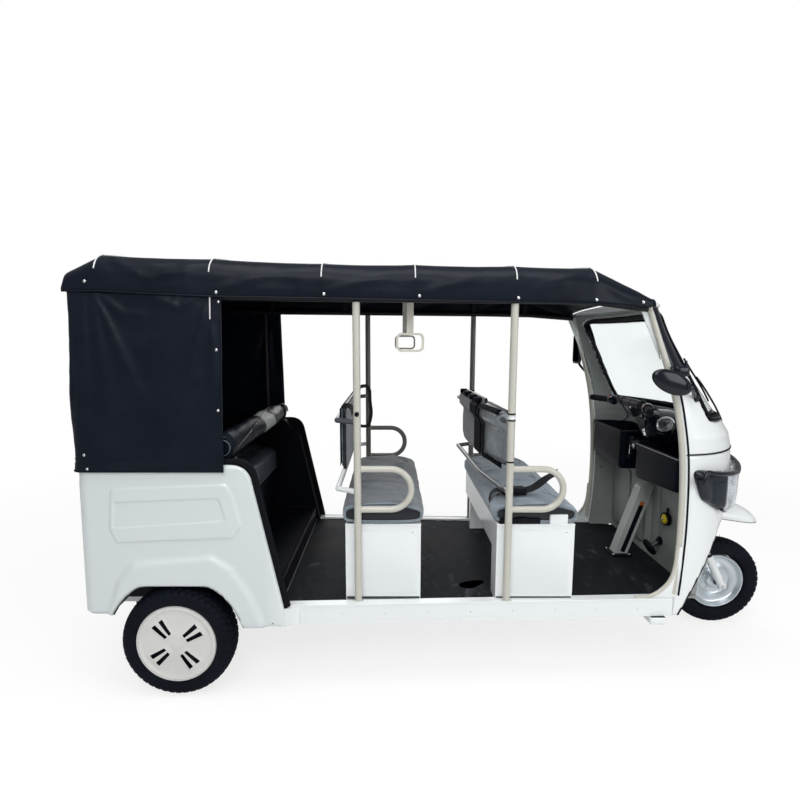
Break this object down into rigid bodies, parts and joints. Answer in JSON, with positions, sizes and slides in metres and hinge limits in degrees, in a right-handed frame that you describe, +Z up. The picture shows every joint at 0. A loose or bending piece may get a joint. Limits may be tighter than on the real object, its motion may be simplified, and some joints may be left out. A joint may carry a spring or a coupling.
{
  "type": "passenger auto rickshaw",
  "caption": "Long open-sided passenger auto rickshaw with rows of bench seats under a tarpaulin roof, steered by a single front wheel and rolling on its wheels.",
  "frame": {"origin": "on the ground under the middle of the vehicle, on its centre plane", "axes": "+X forward, +Y to the vehicle's left, +Z up"},
  "size_m": [3.4, 1.245, 1.95],
  "materials": {
    "frame_black": "satin black paint",
    "body_white": "gloss white paint",
    "cream_paint": "cream paint",
    "inner_grey": "matt grey-beige paint",
    "mat_rubber": "ribbed matt rubber",
    "black_rubber": "matt rubber",
    "tyre_rubber": "matt tyre rubber",
    "black_trim": "textured black plastic",
    "gloss_black": "gloss black plastic",
    "cream_plastic": "cream plastic and webbing",
    "lamp_dark": "smoked lamp housing",
    "lamp_lens": "clear lens",
    "tail_red": "red lens",
    "clear_glass": "clear safety glass",
    "black_vinyl": "black vinyl",
    "seat_fabric": "blue-grey woven fabric",
    "roll_fabric": "rolled grey-beige curtain",
    "canopy_pvc": "dark navy-black coated tarpaulin",
    "axle_steel": "dark steel",
    "rim_silver": "silver paint"
  },
  "bodies": {
    "chassis": {"chassis_frame": "frame_black", "floor_pan": "body_white", "floor_mat": "mat_rubber", "rear_body_right": "body_white", "rear_body_left": "body_white", "rear_body_back": "body_white", "rear_lining": "black_trim", "rear_cushion": "black_vinyl", "rear_backrest": "black_vinyl", "curtain_roll": "roll_fabric", "middle_bench_frame": "body_white", "middle_cushion": "seat_fabric", "driver_bench_frame": "body_white", "driver_cushion": "seat_fabric", "middle_backrest": "seat_fabric", "driver_backrest": "seat_fabric", "side_posts": "cream_paint", "roof_frame": "frame_black", "canopy_cover": "canopy_pvc", "rear_curtain": "canopy_pvc", "grab_handles": "cream_plastic", "cab_upper": "body_white", "cab_lower": "body_white", "windscreen_seal": "black_rubber", "windscreen": "clear_glass", "cab_bulkhead": "inner_grey", "headlamp_housings": "lamp_dark", "headlamp_lenses": "lamp_lens", "tail_lamps": "tail_red", "mirrors": "gloss_black", "dash": "black_trim", "column_brace": "inner_grey", "horn": "gloss_black", "brake_pedal": "black_rubber", "rear_axle": "axle_steel", "rear_springs": "axle_steel"},
    "steering": {"fork": "body_white", "handlebar": "black_trim", "front_mudguard": "body_white"},
    "front_wheel": {"front_rim": "rim_silver", "front_tyre": "tyre_rubber"},
    "rear_wheel_right": {"rear_rim_right": "rim_silver", "rear_tyre_right": "tyre_rubber"},
    "rear_wheel_left": {"rear_rim_left": "rim_silver", "rear_tyre_left": "tyre_rubber"}
  },
  "joints": [
    {"name": "steer", "type": "hinge", "parent": "chassis", "child": "steering", "pos_m": [1.459, 0, 0.241], "axis": [-0.454, 0, 0.891], "range_deg": [-35, 35]},
    {"name": "front_wheel_spin", "type": "hinge", "parent": "steering", "child": "front_wheel", "pos_m": [1.459, 0, 0.241], "axis": [0, 1, 0], "continuous": true},
    {"name": "rear_wheel_right_spin", "type": "hinge", "parent": "chassis", "child": "rear_wheel_right", "pos_m": [-1.27, -0.555, 0.247], "axis": [0, 1, 0], "continuous": true},
    {"name": "rear_wheel_left_spin", "type": "hinge", "parent": "chassis", "child": "rear_wheel_left", "pos_m": [-1.27, 0.555, 0.247], "axis": [0, 1, 0], "continuous": true}
  ]
}
